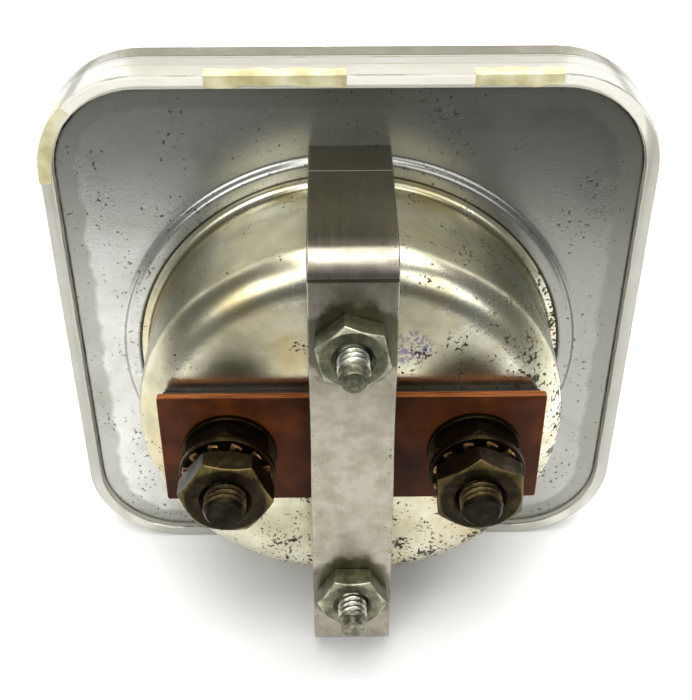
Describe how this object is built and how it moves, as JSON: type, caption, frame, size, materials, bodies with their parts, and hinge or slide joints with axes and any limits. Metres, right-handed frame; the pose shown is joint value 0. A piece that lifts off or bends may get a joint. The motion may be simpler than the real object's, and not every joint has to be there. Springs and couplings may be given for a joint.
{
  "type": "galvanometer",
  "caption": "Square panel galvanometer with a clear front cover, round steel barrel, screw terminals on an insulating strip, a strap bracket and a moving-coil movement.",
  "frame": {"origin": "where the barrel's axis meets the rear face of the flange, which seats on the panel", "axes": "+Z towards the top of the dial, +Y along the barrel's axis out of the back of the panel, dial facing -Y, +X to the right as seen from the dial side"},
  "size_m": [0.0717, 0.0368, 0.0717],
  "materials": {
    "clear_acrylic": "clear aged acrylic",
    "tape": "old clear tape",
    "black_plastic": "moulded black",
    "dial_enamel": "ivory enamel on aluminium",
    "plated_steel": "dull zinc plate",
    "case_steel": "worn bright plate",
    "black_fibre": "black fibre sheet",
    "phenolic": "red-brown laminate",
    "old_brass": "dark patina",
    "phosphor_bronze": "coppery",
    "aluminium_strap": "brushed",
    "cast_aluminium": "as cast",
    "magnet_alloy": "ground",
    "soft_iron": "turned",
    "clean_brass": "satin",
    "bright_steel": "polished",
    "copper_wire": "enamelled",
    "pointer_black": "black lacquer",
    "solder": "dull",
    "red_cloth": "braided sleeve",
    "black_cloth": "braided sleeve"
  },
  "bodies": {
    "case": {"front_cover": "clear_acrylic", "edge_tape": "tape", "dial_plate": "dial_enamel", "dial_screws": "bright_steel", "pointer_stops": "pointer_black", "rear_case": "case_steel", "strip_insulator": "black_fibre", "terminal_strip": "phenolic", "terminal_stud_left": "old_brass", "terminal_stud_right": "old_brass", "terminal_bushings": "phenolic", "terminal_lugs": "clean_brass", "strip_washers": "old_brass", "inner_nuts": "old_brass", "wire_washers": "old_brass", "bracket_studs": "plated_steel", "stud_lock_nuts": "plated_steel", "movement_frame": "cast_aluminium", "ring_magnet": "magnet_alloy", "pole_piece_left": "soft_iron", "pole_piece_right": "soft_iron", "iron_core": "soft_iron", "core_lugs": "clean_brass", "front_bridge": "clean_brass", "bridge_posts": "clean_brass", "bridge_screws": "bright_steel", "front_jewel_screw": "clean_brass", "front_jewel_nut": "clean_brass", "rear_jewel_screw": "clean_brass", "rear_hairspring": "phosphor_bronze", "spring_tab": "clean_brass", "spring_tab_bush": "phenolic", "lead_left": "red_cloth", "lead_right": "black_cloth"},
    "coil": {"coil_former": "cast_aluminium", "coil_winding": "copper_wire", "pivot_front": "bright_steel", "pivot_rear": "bright_steel", "pointer": "pointer_black", "balance_weights": "solder"},
    "zero_adjuster": {"zero_screw": "black_plastic", "zero_screw_clip": "bright_steel"},
    "zero_lever": {"zero_arm": "clean_brass", "front_hairspring": "phosphor_bronze"},
    "washer_left": {"lock_washer_left": "phosphor_bronze"},
    "nut_left": {"outer_nut_left": "old_brass"},
    "washer_right": {"lock_washer_right": "phosphor_bronze"},
    "nut_right": {"outer_nut_right": "old_brass"},
    "bracket": {"mounting_bracket": "aluminium_strap"},
    "nut_upper": {"bracket_nut_upper": "plated_steel"},
    "nut_lower": {"bracket_nut_lower": "plated_steel"}
  },
  "joints": [
    {"name": "pointer_swing", "type": "hinge", "parent": "case", "child": "coil", "pos_m": [0, 0, 0], "axis": [0, 1, 0], "range_deg": [-45, 45], "stiffness_Nm_per_rad": 0.00001},
    {"name": "zero_screw_turn", "type": "hinge", "parent": "case", "child": "zero_adjuster", "pos_m": [0, 0, -0.015], "axis": [0, 1, 0], "range_deg": [-40, 40]},
    {"name": "zero_lever_turn", "type": "hinge", "parent": "case", "child": "zero_lever", "pos_m": [0, 0, 0], "axis": [0, 1, 0], "range_deg": [-4.5, 4.5]},
    {"name": "washer_left_slide", "type": "slide", "parent": "case", "child": "washer_left", "axis": [0, 1, 0], "range_m": [0, 0.002]},
    {"name": "nut_left_turn", "type": "hinge", "parent": "washer_left", "child": "nut_left", "pos_m": [-0.0143, 0, 0], "axis": [0, 1, 0], "range_deg": [0, 910]},
    {"name": "washer_right_slide", "type": "slide", "parent": "case", "child": "washer_right", "axis": [0, 1, 0], "range_m": [0, 0.002]},
    {"name": "nut_right_turn", "type": "hinge", "parent": "washer_right", "child": "nut_right", "pos_m": [0.0143, 0, 0], "axis": [0, 1, 0], "range_deg": [0, 910]},
    {"name": "bracket_slide", "type": "slide", "parent": "case", "child": "bracket", "axis": [0, 1, 0], "range_m": [0, 0.003]},
    {"name": "nut_upper_turn", "type": "hinge", "parent": "bracket", "child": "nut_upper", "pos_m": [0, 0, 0.01905], "axis": [0, 1, 0], "range_deg": [0, 1365]},
    {"name": "nut_lower_turn", "type": "hinge", "parent": "bracket", "child": "nut_lower", "pos_m": [0, 0, -0.01905], "axis": [0, 1, 0], "range_deg": [0, 1365]}
  ],
  "couplings": [
    {"joint": "zero_lever_turn", "follows": "zero_screw_turn", "ratio": -0.11},
    {"joint": "nut_left_turn", "follows": "washer_left_slide", "rad_per_m": 7915.8},
    {"joint": "nut_right_turn", "follows": "washer_right_slide", "rad_per_m": 7915.8},
    {"joint": "nut_upper_turn", "follows": "bracket_slide", "rad_per_m": 7915.8},
    {"joint": "nut_lower_turn", "follows": "bracket_slide", "rad_per_m": 7915.8}
  ]
}
